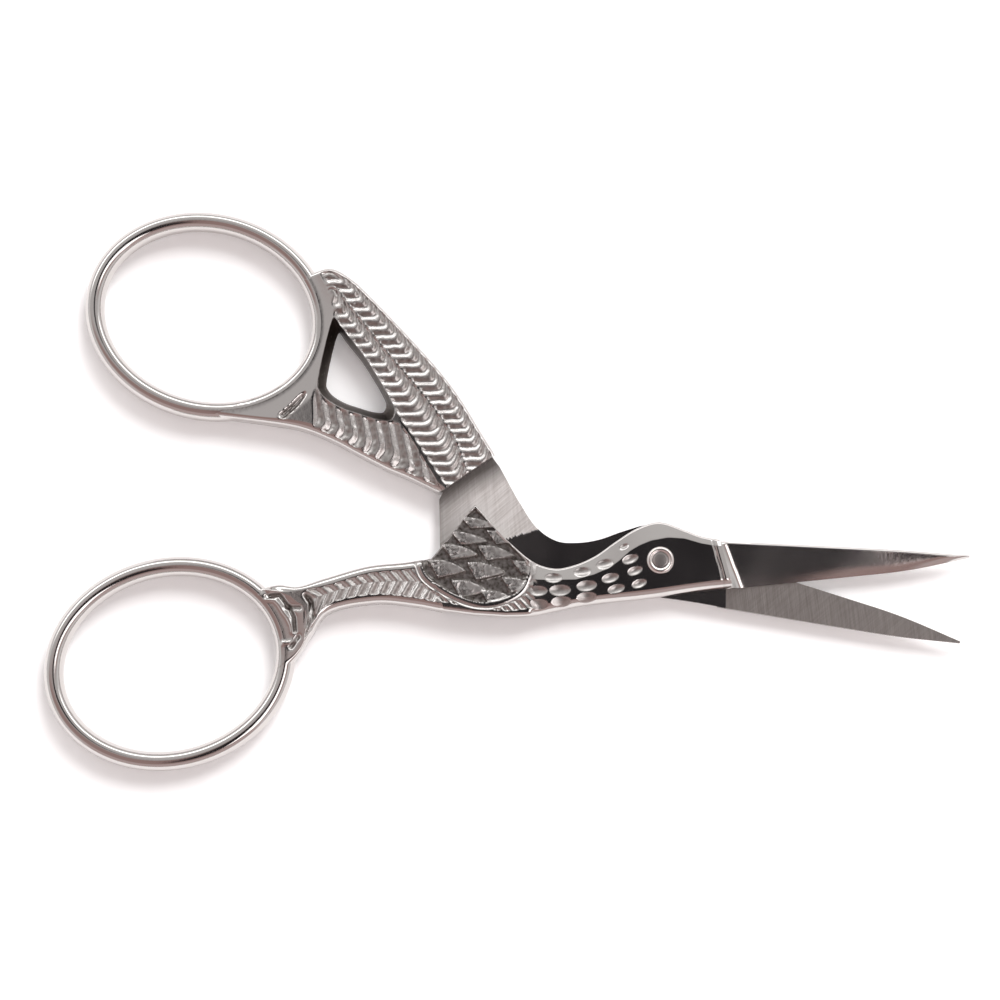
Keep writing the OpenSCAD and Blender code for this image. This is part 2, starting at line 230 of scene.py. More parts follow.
# Neck, head and body, shared by both halves
bird = {
    "back": [(-15.4, 2.2), (-12.9, 0.05), (-10.58, -0.77), (-8.51, -0.42), (-6.45, 0.5), (-4.39, 1.95),
             (-2.19, 3.3), (0, 3.9), (2.405, 3.1), (4.095, 2.45), (5.9, 2.115)],
    "breast": [(-15.4, -5.6), (-12.9, -5.5), (-10.71, -5.07), (-8.51, -4.6), (-6.45, -4.28), (-4.39, -4.05),
               (-2.19, -3.83), (0, -3.55), (2.275, -3.2), (4.55, -2.9), (7.2, -2.632)],
    # upper border of the flat top, below it the lower border
    "facet": [(-13.4, -1.6), (-12.9, -1.9), (-10.9, -1.95), (-8.4, -1.9), (-6.6, -1.4), (-5.2, -0.8),
              (-4.2, -0.1), (-3.1, 0.9), (-2.1, 1.5), (-0.9, 2.0), (0.8, 2.3), (2.4, 2.2), (4.1, 1.7),
              (5.3, 1.5), (8, 1.3)],
    "keel": [(-13.4, -4.4), (-9, -3.9), (-5.9, -3.4), (-1, -2.8), (5.6, -1.9), (8, -1.7)],
    "facetSlope": 0.24, "keelFall": 0.5, "keelCurve": 1.3, "backRound": 0.22, "breastRound": 0.55,
    "thinnest": 0.25, "neckStart": -13.1, "bodyEnd": -12.6,
    "sections": 170, "bodySections": 120, "columns": (104, 36),
}
bodyRim = {
    # outline of the feather bed; the rib inside it is thicker near its upper end, the groove runs outside
    "outline": [(-24.13, 0.15), (-23.43, -1.59), (-21.93, -2.79), (-19.93, -3.85), (-17.93, -4.4),
                (-15.93, -4.2), (-13.93, -3.2), (-13.1, -1.79), (-12.93, -0.09), (-15.6, 2.6),
                (-18.43, 5.81), (-21.2, 2.75)],
    "roundPoints": 8, "heart": (-18.3, 0.2), "bedDepth": 0.46, "wall": 0.2, "rib": 0.2, "thickRib": 0.2,
    "thickEnd": (-18.43, 5.7), "thickReach": 1.1, "grooveOut": 0.32, "grooveWidth": 0.12, "grooveDepth": 0.1,
}
leaves = {
    # left tip and size
    "tips": [(-20.0, 4.5, 0.9), (-20.9, 3.0, 1.05), (-21.8, 1.7, 1.25), (-23.1, 0.1, 1.5), (-17.4, 3.1, 1.1),
             (-18.3, 1.6, 1.25), (-19.3, -0.1, 1.5), (-20.9, -1.9, 1.4), (-14.9, 0.1, 1.1),
             (-15.9, -1.6, 1.2), (-18.0, -2.9, 1.2)],
    "long": 4.2, "below": 1.08, "above": 0.36, "peak": 0.35, "lean": -16,
    "alongFall": 0.16, "sideFall": 0.08, "edgeFall": 0.5, "edgeWidth": 0.13, "grain": 0.012,
}
teeth = {"border": [(-22, -4), (-19.9, -4.4), (-17.9, -4.8), (-14.9, -5.0), (-12.9, -4.7)],
         "pitch": 0.9, "slant": 0.9, "depth": 0.24, "clearance": 0.42, "lastX": -12.2, "highest": -1.5}
dimples = {
    # middle and half length along the neck
    "ovals": [(-3.6, 1.38, 0.45), (-5.51, -0.37, 0.85), (-7.76, -1.16, 0.85), (-10.63, -1.76, 0.85),
              (-3.01, 0.13, 0.75), (-2.55, -1.04, 0.7), (-5.01, -1.76, 0.8), (-7.35, -2.54, 0.95),
              (-10.01, -2.99, 1.0), (-12.23, -3.04, 0.9), (-2.13, -2.32, 0.7), (-4.43, -2.87, 0.8),
              (-7.35, -3.69, 0.95), (-9.85, -4.12, 0.95), (-12.1, -4.37, 0.9)],
    # place along the neck and how far an oval there is turned, in degrees
    "turns": [(-13, -2), (-9, 2), (-6, 10), (-4, 20), (-2, 22), (3, -10)],
    "depth": 0.14, "narrow": 0.56, "paintedShade": 0.42,
}
collar = {"grooveBack": 0.7, "grooveWidth": 0.075, "grooveDepth": 0.05, "stepWidth": 0.35, "stepDepth": 0.1,
          "paintedShade": 0.3, "paintedShadeWidth": 0.07}


# Relief of the body: overlapping leaves in a sunk bed, inside a double rim. Gives height, valley and how far
# inside the outline a point is. A leaf widens evenly to its peak and narrows again below, and bulges by a
# sine above. Its top falls evenly along it and across it, and by a smooth step at its edge.
def bodyRelief(xy):
    outline, roundEnd = bodyRim["outline"], bodyRim["roundPoints"]
    line = onCurve(outline + outline[:1], np.linspace(0, 1, len(outline) * 8 + 1))
    corner = onPath(outline[roundEnd:] + outline[:1], np.linspace(0, 1, 33))
    line = np.vstack([line[:roundEnd * 8 + 1], corner])
    heart = np.array(bodyRim["heart"])
    bearing = np.arctan2(*np.moveaxis(line - heart, -1, 0)[::-1])
    order = np.argsort(bearing)
    reach = np.linalg.norm(line - heart, axis=1)
    here = np.arctan2(xy[..., 1] - heart[1], xy[..., 0] - heart[0])
    edge = np.interp(here, bearing[order], reach[order], period=2 * np.pi)
    inside = np.where(np.linalg.norm(xy - heart, axis=-1) < edge, 1.0, -1.0)
    s = inside * nearLine(xy, line)
    height = np.full(s.shape, -bodyRim["bedDepth"])
    lean = turned(1.0, 0.0, leaves["lean"])
    peak = leaves["peak"]
    for *tip, size in leaves["tips"]:
        share = np.clip(((xy - tip) @ lean) / leaves["long"], 0, 1)
        b = (xy - tip) @ np.array([-lean[1], lean[0]]) / size
        below = leaves["below"] * np.minimum(share / peak, (1 - share) / (1 - peak)) ** 0.85
        above = leaves["above"] * np.sin(np.pi * share) ** 0.8
        room = np.minimum(b + below, above - b)  # distance in from the leaf's edge
        tilt = np.clip((b + below) / np.maximum(below + above, 0.05), 0, 1)
        top = -leaves["alongFall"] * share - leaves["sideFall"] * tilt
        top = top - leaves["edgeFall"] * smooth(1 - room / leaves["edgeWidth"]) + leaves["grain"] * cast(xy)
        height = np.maximum(height, top)
    fromEnd = np.linalg.norm(xy - bodyRim["thickEnd"], axis=-1)
    rib = bodyRim["rib"] + bodyRim["thickRib"] * bump(fromEnd, bodyRim["thickReach"])
    sunk = smooth((s - rib) / bodyRim["wall"])
    groove = bump(s + bodyRim["grooveOut"], bodyRim["grooveWidth"])
    z = sunk * height - bodyRim["grooveDepth"] * groove * (s < 0.3)
    # the second value is painted shade: darker the deeper in the bed, and in the groove
    return z, sunk * np.clip(-height / bodyRim["bedDepth"], 0, 1) + 0.5 * groove, s


# Teeth between the rim and the breast: ridge = sqrt|sin(pi (x + slant y) / pitch)| - 1, faded at its borders
def breastTeeth(xy, s):
    x, y = xy[..., 0], xy[..., 1]
    border = np.interp(x, *np.array(teeth["border"]).T)
    here = smooth((-s - teeth["clearance"]) / 0.12) * smooth((y - border + 0.1) / 0.15)
    here = here * smooth((teeth["lastX"] - x) / 1.5) * (y < teeth["highest"])
    ridge = np.sqrt(np.abs(np.sin(np.pi * (x + teeth["slant"] * y) / teeth["pitch"]))) - 1
    # the second value is painted shade in the teeth's grooves
    return teeth["depth"] * ridge * here, -ridge * here


# Distance past the collar line, from the end of the back to that of the breast, and the share down it
def fromCollar(xy):
    top, bottom = np.array(bird["back"][-1]), np.array(bird["breast"][-1])
    long = np.linalg.norm(top - bottom)
    normal = np.array([top[1] - bottom[1], bottom[0] - top[0]]) / long
    return (xy - top) @ normal, np.clip(((xy - top) @ (bottom - top)) / long ** 2, 0, 1)


# Relief of the neck and head: an even slope from the facet's border to the back, a curved fall below the keel
# line, oval dips 1 - q deep with q = (u / long)^2 + (v / wide)^2, and a groove and a step at the collar
def neckRelief(xy, low):
    x, y = xy[..., 0], xy[..., 1]
    facetX, facetY = np.array(bird["facet"]).T
    facet = np.interp(x, facetX, facetY)
    keel = np.interp(x, *np.array(bird["keel"]).T)
    climb = np.interp(x, facetX, np.gradient(facetY, facetX))
    over = np.maximum(y - facet, 0) / np.sqrt(1 + climb ** 2)
    under = np.clip((keel - y) / np.maximum(keel - low, 0.4), 0, 1.2)
    ease = smooth((x - bird["neckStart"]) / 0.9)
    z = -ease * (bird["facetSlope"] * over + bird["keelFall"] * under ** bird["keelCurve"])
    valley = np.zeros(x.shape)
    for cx, cy, long in dimples["ovals"]:
        slope = np.interp(cx, *np.array(dimples["turns"]).T)
        u, v = np.moveaxis(turned(x - cx, y - cy, -slope), -1, 0)
        q = (u / long) ** 2 + (v / (long * dimples["narrow"])) ** 2
        z -= dimples["depth"] * np.clip(1 - q, 0, 1)
        # painted shade in each oval dip
        valley += dimples["paintedShade"] * smooth((1.15 - q) / 0.4)
    s = fromCollar(xy)[0]
    z -= collar["grooveDepth"] * bump(s + collar["grooveBack"], collar["grooveWidth"])
    z -= collar["stepDepth"] * smooth(1 + s / collar["stepWidth"])
    # painted shade along the collar's groove
    return z, valley + collar["paintedShade"] * bump(s + collar["grooveBack"], collar["paintedShadeWidth"])


# Front half: leg, body and neck in one strip
leg = {
    "top": [(-38.1, -2.4), (-36.0, -2.55), (-33.4, -1.75), (-29.15, -0.55), (-25.4, -0.15), (-23.2, 0.2)],
    "middle": [(-36.0, -6.2), (-34.8, -4.4), (-32.8, -3.4), (-28.775, -2.375), (-25.025, -2.3),
               (-22.6, -2.4)],
    "low": [(-35.9, -9.5), (-34.6, -7.4), (-32.8, -5.1), (-28.4, -4.2), (-24.775, -4.45), (-21.7, -5.0)],
    # where each curve starts on its ring: angle round it, and how deep in the bar
    "ringAngles": (34, 6, -26), "inBar": 0.6, "climb": 2.6,
    # width and drop of the rounding at both long edges
    "topRound": (0.75, 0.6), "lowRound": (1.0, 0.8), "thinnest": 0.45, "sections": 180,
    "barbPitch": 1.17, "barbDepth": 0.24, "barbSweep": 0.68, "barbStart": -35.4, "vertex": 0.45,
    "margin": 0.75,
}


# Leg: each section is the parabola through its upper, middle and lower curve
def legGrid(ring, v):
    t = np.linspace(0, 1, leg["sections"])
    top, middle, low = (
        onCurve([tuple(onRing(ring, angle, leg["inBar"])), *leg[key]], t)[:, None]
        for key, angle in zip(("top", "middle", "low"), leg["ringAngles"]))
    v = v[None, :, None]
    return (1 - v) * (1 - 2 * v) * top + 4 * v * (1 - v) * middle + v * (2 * v - 1) * low


# Profile of a barb across its phase: height |sin(pi phase)|^1.4 - 1, and painted shade, strongest on the side
# turned away from the light
def barb(phase):
    wave = np.sin(np.pi * phase)
    return np.abs(wave) ** 1.4 - 1, 0.25 + 0.5 * np.clip(np.sin(2 * np.pi * phase), 0, 1)


# Chevrons: phase = -(way along + sweep * distance from the vertex line) / pitch
def legRelief(xy, v):
    step = np.linalg.norm(np.diff(xy, axis=0), axis=-1)
    mid = np.argmin(np.abs(v - leg["vertex"]))
    along = np.concatenate([[0], np.cumsum(step[:, mid])])[:, None]
    width = np.linalg.norm(xy[:, 0] - xy[:, -1], axis=-1)[:, None]
    side = (v[None] - leg["vertex"]) * width
    # painted shade in the chevrons' grooves, darker on the side turned away from the light
    ridge, paintedShade = barb(-(along + leg["barbSweep"] * np.abs(side)) / leg["barbPitch"])
    keep = smooth((xy[..., 0] - leg["barbStart"]) / 0.6)
    for inward in (v[None] * width, (1 - v[None]) * width):
        keep = keep * smooth((inward - leg["margin"]) / 0.2)
    height, valley = clawRelief(xy)
    return (leg["barbDepth"] * ridge + 0.01 * cast(xy)) * keep + height, paintedShade * keep + valley


claw = {
    # bright ridges and dark recesses of the claw where the leg meets the ring; the recesses are darkened with
    # painted shade
    "ridges": [[(-39.1, -3.9), (-38.3, -4.0), (-37.9, -4.4), (-37.4, -5.2), (-37.0, -5.7), (-36.6, -6.5),
                (-36.5, -7.1)],
               [(-36.5, -3.6), (-35.9, -4.0), (-35.2, -4.65), (-34.9, -5.3), (-34.8, -6.2), (-35.0, -6.8)],
               [(-37.4, -8.2), (-36.8, -8.2), (-36.2, -8.0)], [(-40.5, -2.6), (-38.6, -3.0), (-36.9, -3.4)]],
    "cuts": [[(-39.0, -3.55), (-37.8, -3.45), (-37.3, -4.1), (-36.8, -4.75), (-36.35, -5.7), (-36.25, -7.0)],
             [(-37.1, -4.65), (-35.8, -4.7)], [(-35.9, -7.6), (-36.6, -8.6)],
             [(-35.2, -3.5), (-34.6, -4.3), (-34.4, -5.6)]],
    "height": 0.12, "ridgeWidth": 0.17, "depth": 0.26, "cutWidth": 0.19, "paintedShadeWidth": 0.22,
    "ends": (-42, -33.5),
}


# Claw: bell-shaped ridges and grooves along the lines above
def clawRelief(xy):
    near = (xy[..., 0] > claw["ends"][0]) & (xy[..., 0] < claw["ends"][1])
    z, valley = np.zeros(near.shape), np.zeros(near.shape)
    spot = xy[near]
    for line in claw["ridges"]:
        z[near] += claw["height"] * bump(nearLine(spot, np.array(line)), claw["ridgeWidth"])
    for line in claw["cuts"]:
        d = nearLine(spot, np.array(line))
        z[near] -= claw["depth"] * bump(d, claw["cutWidth"])
        # painted shade along each cut
        valley[near] += 0.9 * bump(d, claw["paintedShadeWidth"])
    return z, valley


# Where each half's body leaves the lap step: points of its upper and of its lower border
bodyBorders = {
    "front": ([(-23.05, 0.22), (-22.75, 0.25), (-18.4, 5.6)], [(-21.5, -5.02), (-18.5, -5.4)]),
    "rear": ([(-22.9, 0.0), (-22.6, 1.6), (-20.7, 4.2), (-19.0, 5.6), (-18.0, 4.85)],
             [(-21.4, -4.95), (-18.6, -5.4)]),
}


# Upper and lower ends of each section of body and neck
def birdEdges(half):
    bodyUp, bodyLow = bodyBorders[half]
    t = np.linspace(0, 1, bird["sections"])
    share = np.linspace(0, 1, bird["bodySections"], endpoint=False)
    up = np.vstack([onPath(bodyUp + [bird["back"][0]], share), onCurve(bird["back"], t)])
    low = np.vstack([onPath(bodyLow + [bird["breast"][0]], share), onCurve(bird["breast"], t)])
    return up, low


# Height of the outer face of body and neck above the lap plane: half thickness, plus the reliefs, less the
# rounded edges
def birdFace(xy, up, low, v):
    body, valley, s = bodyRelief(xy)
    cut, cutValley = breastTeeth(xy, s)
    neck, neckValley = neckRelief(xy, low[:, None, 1])
    width = np.linalg.norm(up - low, axis=-1)[:, None]
    onNeck = 1 - smooth((-13.6 - xy[..., 0]) / 0.6)
    edge = rounded(v[None] * width, bird["backRound"]) + rounded((1 - v[None]) * width, bird["breastRound"])
    z = halfThick + body * smooth((bird["bodyEnd"] - xy[..., 0]) / 0.3) + cut + neck * onNeck - edge
    return (np.clip(z, lapGap + bird["thinnest"], halfThick),
            np.clip(valley + cutValley + neckValley * onNeck, 0, 1))


# Places and heights of the front half's outer face: the leg's rows, then those of body and neck
def frontFace(v):
    legXY = legGrid(rings["front"], v)
    up, low = birdEdges("front")
    width = np.linalg.norm(legXY[:, 0] - legXY[:, -1], axis=-1)[:, None]
    relief, valley = legRelief(legXY, v)
    body, bodyValley, s = bodyRelief(legXY)
    outside = smooth(-(s + 0.55) / 0.2)
    top = leaving(legXY, rings["front"], leg["climb"]) + relief * outside + body
    top -= rounded(v[None] * width, *leg["topRound"]) + rounded((1 - v[None]) * width, *leg["lowRound"])
    birdXY = up[:, None] * (1 - v[None, :, None]) + low[:, None] * v[None, :, None]
    birdTop, birdValley = birdFace(birdXY, up, low, v)
    valley = np.clip(valley * outside + bodyValley, 0, 1)
    return legXY, np.clip(top, leg["thinnest"], halfThick), valley, birdXY, birdTop, birdValley


# The lap step stands upright, so the last leg section is doubled with the lap height beneath
def frontStrip():
    legXY, legTop, legValley, birdXY, birdTop, birdValley = frontFace(across(bird["columns"][0]))
    legPart, birdPart = np.dstack([legXY, legTop]), np.dstack([birdXY, birdTop])
    over = np.concatenate([legPart, legPart[-1:], birdPart])
    overValley = np.concatenate([legValley, legValley[-1:], birdValley])
    legXY, legTop, legValley, birdXY, birdTop, birdValley = frontFace(across(bird["columns"][1]))
    flat = np.concatenate([legXY[-1:], birdXY])
    under = np.concatenate([np.dstack([legXY, -legTop]), np.dstack([flat, np.full(flat.shape[:2], lapGap)])])
    underValley = np.concatenate([legValley, 0 * legValley[-1:], 0 * birdValley])
    ring = np.concatenate([over, under[:, ::-1]], axis=1)
    valley = np.concatenate([overValley, underValley[:, ::-1]], axis=1)
    return skin("frontStrip", ring, valley, upper=over.shape[1])


# Blades
blades = {
    # ends of the two long edges: upper and lower one at the collar, then at the tip
    "heel": ((5.4, 2.015), (6.7, -2.732)), "tip": ((30.9, 0.6), (30.9, 0.4)),
    # how far each edge bulges on its way, upper one first
    "frontBulge": (0.15, -0.45), "rearBulge": (0.45, -0.25),
    "spine": 1.15, "tipSpine": 0.45, "edgeLand": 0.1, "belly": 0.1, "shoulder": 0.3, "spineRound": 0.24,
    "thinnest": 0.06, "collarGap": 0.16, "fillet": 0.5, "sections": 100, "columns": 30,
}


# Long edge of a blade: from a to b, off the straight line by the whole bulge at three quarters of the way
def bowed(a, b, bulge):
    a, b = np.array(a), np.array(b)
    return [a, a + (b - a) * 0.5 + [0, 0.8 * bulge], a + (b - a) * 0.75 + [0, bulge], b]


# Blade: flat inner face, rounded shoulder at the spine, outer face ground down to the cutting edge, with a
# sine for its belly. Next to the collar it is raised to it by the gap times (1 - s / width)^2.
def bladeSkin(name, spineLine, edgeLine, side):
    t = np.linspace(0, 1, blades["sections"]) ** 1.25
    back, edge = onCurve(spineLine, t)[:, None], onCurve(edgeLine, t)[:, None]
    v = across(blades["columns"])[None]
    xy = back * (1 - v[..., None]) + edge * v[..., None]
    width = np.linalg.norm(back - edge, axis=-1)
    high = blades["spine"] + (blades["tipSpine"] - blades["spine"]) * t[:, None]
    shoulder = np.minimum(blades["shoulder"], width / 3)
    fall = np.clip((v * width - shoulder) / (width - shoulder), 0, 1)
    z = high * (1 - fall) + blades["edgeLand"] * fall + blades["belly"] * high * np.sin(np.pi * fall)
    z -= rounded(v * width, blades["spineRound"]) * smooth(width / 1.2)
    s, down = fromCollar(xy)
    near = np.clip(1 - np.abs(s) / (blades["fillet"] * (1 + down)), 0, 1) ** 2
    z += (halfThick - blades["collarGap"] - z - 0.5 * down) * near * smooth(v * width / 0.3)
    top = lapGap + np.maximum(z, blades["thinnest"])
    inner = np.dstack([xy, np.full(top.shape, lapGap)])
    ring = np.concatenate([np.dstack([xy, top]), inner[:, ::-1]], axis=1)
    ring[..., 2] *= side
    return skin(name, ring, 0.0)


# Rear half: wing, body and neck
wing = {
    # share of the wing's length from the lap step, and distance off its chord
    "outer": [(1.11, 6), (1, 6.7), (0.86, 6.65), (0.69, 6.4), (0.53, 6.1), (0.38, 5.7), (0.24, 5.05),
              (0.095, 4.1), (-0.035, 3.3)],
    "rib": [(1.04, 4.8), (0.93, 4.6), (0.77, 4.05), (0.62, 3.55), (0.5, 3.25), (0.38, 2.9), (0.26, 2.4),
            (0.14, 1.7), (0, 0.1)],
    "inner": [(0.97, 2.7), (0.87, 2.35), (0.72, 1.85), (0.585, 1.05), (0.495, 0.43), (0.4, -0.38),
              (0.3, -0.85), (0.187, -1.5), (0.025, -2.4)],
    "under": [(0.8, -3.75), (0.72, -4.1), (0.63, -3.75), (0.54, -2.9), (0.465, -2.1), (0.385, -1),
              (0.29, -1.25), (0.18, -1.95), (0.03, -2.85)],
    "low": [(0.85, -10.06), (0.694, -7.85), (0.552, -6.65), (0.438, -6), (0.346, -5.46), (0.273, -5),
            (0.2, -4.4), (0.12, -3.85), (0.04, -3.3)],
    # where each curve starts on its ring: angle round it, and how deep in the bar
    "starts": {"outer": (44, 0.6), "rib": (29, 0.6), "inner": (13, 0.6), "under": (-23, 0.6),
               "low": (-74, 1.6)},
    "origin": (-20.85, 3.1), "length": 22, "angle": 153.4, "climb": 2.2, "barSide": 1.2,
    "outerRound": (0.5, 0.5), "lowRound": (0.8, 0.7), "sections": 210, "columns": 92,
    # rows: base and rim curve, bare margin, barb spacing, rise of the hook, first and last share across
    "rows": [(1, 0, 0.3, 0.95, 2.2, 0.0, 0.25), (2, 1, 0.12, 1.0, 1.9, 0.25, 0.5),
             (3, 4, 0.4, 1.25, 1.5, 0.75, 1.0)],
    "barbDepth": 0.19, "hookStart": 0.45, "lowRowStart": -34.6,
    "pit": [(-40.2, 3.67), (-39.35, 5.06), (-38.95, 6.21)], "pitDepth": 0.35, "pitHalf": 0.405,
    # part of the inner and under curves that the window takes, and its least width at half thickness
    "window": (0.12, 0.64), "windowOpen": 0.76, "windowPoints": 60,
}


# Point at a share of the wing's length along its chord, and at a distance off it
def onWing(share, off):
    return np.array(wing["origin"]) + turned(share * wing["length"], -off, wing["angle"])


# Points along one of the wing's five curves, from the ring to the lap step
def wingCurve(key, t):
    points = [tuple(onRing(rings["rear"], *wing["starts"][key]))]
    return onCurve(points + [tuple(onWing(*p)) for p in wing[key]], t)


# Barbs of the three rows, as they lie at rest: level in the two outer rows, phase = (Y - hook) / spacing, and
# nearly upright in the lower one, phase = (X + 0.2 Y + hook) / spacing. The hook grows with the square of the
# way across the last 55% of a row. Each row lies between two curves, and v tells which row a point is in.
def wingRelief(xy, lines, v):
    rest = turned(xy[..., 0], xy[..., 1], -overall["openAngle"])
    z, valley = np.zeros(xy.shape[:2]), np.zeros(xy.shape[:2])
    for base, rim, margin, spacing, rise, first, last in wing["rows"]:
        columns = (v >= first) & (v <= last)
        spot, x, y = xy[:, columns], rest[:, columns, 0], rest[:, columns, 1]
        d, left = nearLine(spot, lines[base][::2]), nearLine(spot, lines[rim][::2])
        over = d / np.maximum(d + left, 1e-6)
        hook = rise * np.clip((over - wing["hookStart"]) / (1 - wing["hookStart"]), 0, 1) ** 2
        lowRow = base == 3
        way = x + 0.2 * y + hook if lowRow else y - hook
        # painted shade on each barb's side turned away from the light
        ridge, paintedShade = barb(way / spacing + 0.03 * cast(spot * 0.5))
        here = smooth(d / 0.14) * smooth((left - margin) / 0.16)
        if lowRow:
            here = here * smooth((x - wing["lowRowStart"]) / 0.4)
        z[:, columns] += (wing["barbDepth"] * ridge + 0.01 * cast(spot)) * here
        valley[:, columns] += paintedShade * here
    fromPit = nearLine(xy, onCurve(wing["pit"], np.linspace(0, 1, 9)))
    pit = smooth((wing["pitHalf"] - fromPit) / 0.3)
    # the pit is darkened with painted shade too
    return z - wing["pitDepth"] * pit, valley + pit


# Wing: each section runs through the five curves as a Catmull-Rom curve of its own, and the lower face is
# the upper one mirrored
def wingSkin():
    t = np.linspace(0, 1, wing["sections"])
    lines = [wingCurve(key, t) for key in ("outer", "rib", "inner", "under", "low")]
    v = across(wing["columns"])
    knots = np.array(lines)
    s = np.clip(v, 0, 0.99999) * (len(lines) - 1)
    i = np.floor(s).astype(int)
    u = (s - i)[:, None, None]
    q = np.concatenate([2 * knots[:1] - knots[1:2], knots, 2 * knots[-1:] - knots[-2:-1]])
    a, b, c, d = q[i], q[i + 1], q[i + 2], q[i + 3]
    m, n = (c - a) / 2, (d - b) / 2
    xy = b + m * u + (3 * (c - b) - 2 * m - n) * u ** 2 + (2 * (b - c) + m + n) * u ** 3
    xy = xy.transpose(1, 0, 2)
    step = np.linalg.norm(np.diff(xy, axis=1), axis=-1)
    run = np.concatenate([np.zeros((len(t), 1)), np.cumsum(step, axis=1)], axis=1)
    relief, valley = wingRelief(xy, lines, v)
    ringSide = smooth((fromBar(xy, rings["rear"]) - wing["barSide"]) / 0.6)
    top = leaving(xy, rings["rear"], wing["climb"]) + relief * ringSide
    top = np.minimum(top, halfThick) - rounded(run, *wing["outerRound"])
    top = top - rounded(run[:, -1:] - run, *wing["lowRound"])
    ring = np.concatenate([np.dstack([xy, top]), np.dstack([xy, -top])[:, ::-1]], axis=1)
    valley = np.clip(valley * ringSide, 0, 1)
    return skin("wing", ring, np.concatenate([valley, valley[:, ::-1]], axis=1))


# Window: the outline between inner and under curve, rounded by averaging neighbours. It narrows from each
# face to half thickness by a smooth step, about a point between both curves. Its wall is all recess: painted
# shade and rough.
def windowSkin():
    first, last = wing["window"]
    t = first + (last - first) * np.linspace(0, 1, wing["windowPoints"])
    inner, under = wingCurve("inner", t), wingCurve("under", t)
    line = np.vstack([inner, under[::-1]])
    for _ in range(5):
        line = (np.roll(line, 1, 0) + 2 * line + np.roll(line, -1, 0)) / 4
    middle = line[[24]] * 0.6 + line[[-25]] * 0.4
    level = np.array([-1.75, -1.6, -1.2, -0.7, 0, 0.7, 1.2, 1.6, 1.75])
    wide = 1 - (1 - wing["windowOpen"]) * smooth(1 - np.abs(level) / level[-1])
    wall = middle[None] + (line - middle)[None] * wide[:, None, None]
    ring = np.concatenate([wall, np.broadcast_to(level[:, None, None], (*wall.shape[:2], 1))], axis=2)
    return skin("window", ring, 2.0)


# Rear body and neck: outer face below, flat lap face above
def rearBird():
    up, low = birdEdges("rear")
    v, w = (across(count)[None, :, None] for count in bird["columns"])
    xy, lapXY = (up[:, None] * (1 - share) + low[:, None] * share for share in (v, w))
    top, valley = birdFace(xy, up, low, v[0, :, 0])
    lapSide = np.dstack([lapXY, np.full(lapXY.shape[:2], -lapGap)])
    ring = np.concatenate([np.dstack([xy, -top]), lapSide[:, ::-1]], axis=1)
    valley = np.concatenate([valley, np.zeros(lapXY.shape[:2])], axis=1)
    return skin("rearBird", ring, valley, upper=xy.shape[1])


# Pivot rivet
rivet = {"shank": 0.9, "seat": 1.63, "sink": 1.3, "sinkDepth": 0.4, "bore": 0.93, "past": 3, "steps": 72,
         # radius and height above its seat
         "head": [(1.35, 0), (1.34, 0.1), (1.28, 0.2), (1.17, 0.27), (1.04, 0.29), (0.94, 0.25), (0.88, 0.2),
                  (0.82, 0.19), (0.7, 0.205), (0.5, 0.215), (0.25, 0.22), (0.06, 0.225)]}


# Spun shape: rows of (radius, height), each a circle of points, closed by a small fan at both ends
def spun(name, profile):
    profile = np.array(profile, float)
    angle = np.linspace(0, 2 * np.pi, rivet["steps"], endpoint=False)
    ring = np.dstack([profile[:, :1] * np.cos(angle), profile[:, :1] * np.sin(angle),
                      np.repeat(profile[:, 1:], rivet["steps"], axis=1)])
    return skin(name, ring, 0.0)


# Countersink in the back of the rear half and of the rivet's tail, up to the shank
countersink = [(rivet["sink"], -halfThick), (rivet["shank"], -halfThick + rivet["sinkDepth"])]


# Rivet: countersunk tail flush with the back, shank, domed head with a dimple
def rivetSkin():
    seat = rivet["seat"]
    tail = [(0.05, -halfThick + 0.02), (1.2, -halfThick), *countersink, (rivet["shank"], seat)]
    return spun("rivet", tail + [(r, seat + z) for r, z in rivet["head"]])


# Bores reach past both faces of the half they go through
def frontBore():
    return spun("frontBore", [(rivet["bore"], -rivet["past"]), (rivet["bore"], rivet["past"])])


def rearBore():
    return spun("rearBore", [(rivet["sink"], -rivet["past"]), *countersink, (rivet["shank"], rivet["past"])])


# Upper and lower long edge of a blade
def bladeEdges(bulges):
    return [bowed(*ends, bulge) for *ends, bulge in zip(blades["heel"], blades["tip"], bulges)]


print("shaping the front half")
upperEdge, lowerEdge = bladeEdges(blades["frontBulge"])
front = welded("frontForging", [ringSkin("frontRing", rings["front"]), frontStrip(),
                                bladeSkin("frontBlade", upperEdge, lowerEdge, 1)],
               [frontBore()])
print("shaping the rear half")
upperEdge, lowerEdge = bladeEdges(blades["rearBulge"])
wingOpen = welded("wing", [wingSkin()], [windowSkin()])
rear = welded("rearForging", [ringSkin("rearRing", rings["rear"]), wingOpen, rearBird(),
                              bladeSkin("rearBlade", lowerEdge, upperEdge, -1)],
              [rearBore()])


print("mixing the materials")


# Empty node group with named inputs, each with its kind and usual value, and named outputs
def group(name, inputs, outputs):
    tree = bpy.data.node_groups.new(name, "ShaderNodeTree")
    for label, kind, value in inputs:
        socket = tree.interface.new_socket(label, in_out="INPUT", socket_type=kind)
        socket.default_value = value
    for label, kind in outputs:
        tree.interface.new_socket(label, in_out="OUTPUT", socket_type=kind)
    return tree, tree.nodes.new("NodeGroupInput").outputs, tree.nodes.new("NodeGroupOutput").inputs


# New node: its settings, then its inputs, each a plain value or the socket that feeds it
def node(tree, kind, inputs=None, **settings):
    made = tree.nodes.new(kind)
    for key, value in settings.items():
        setattr(made, key, value)
    for key, source in (inputs or {}).items():
        if isinstance(source, (int, float, tuple)):
            made.inputs[key].default_value = source
        else:
            tree.links.new(source, made.inputs[key])
    return made


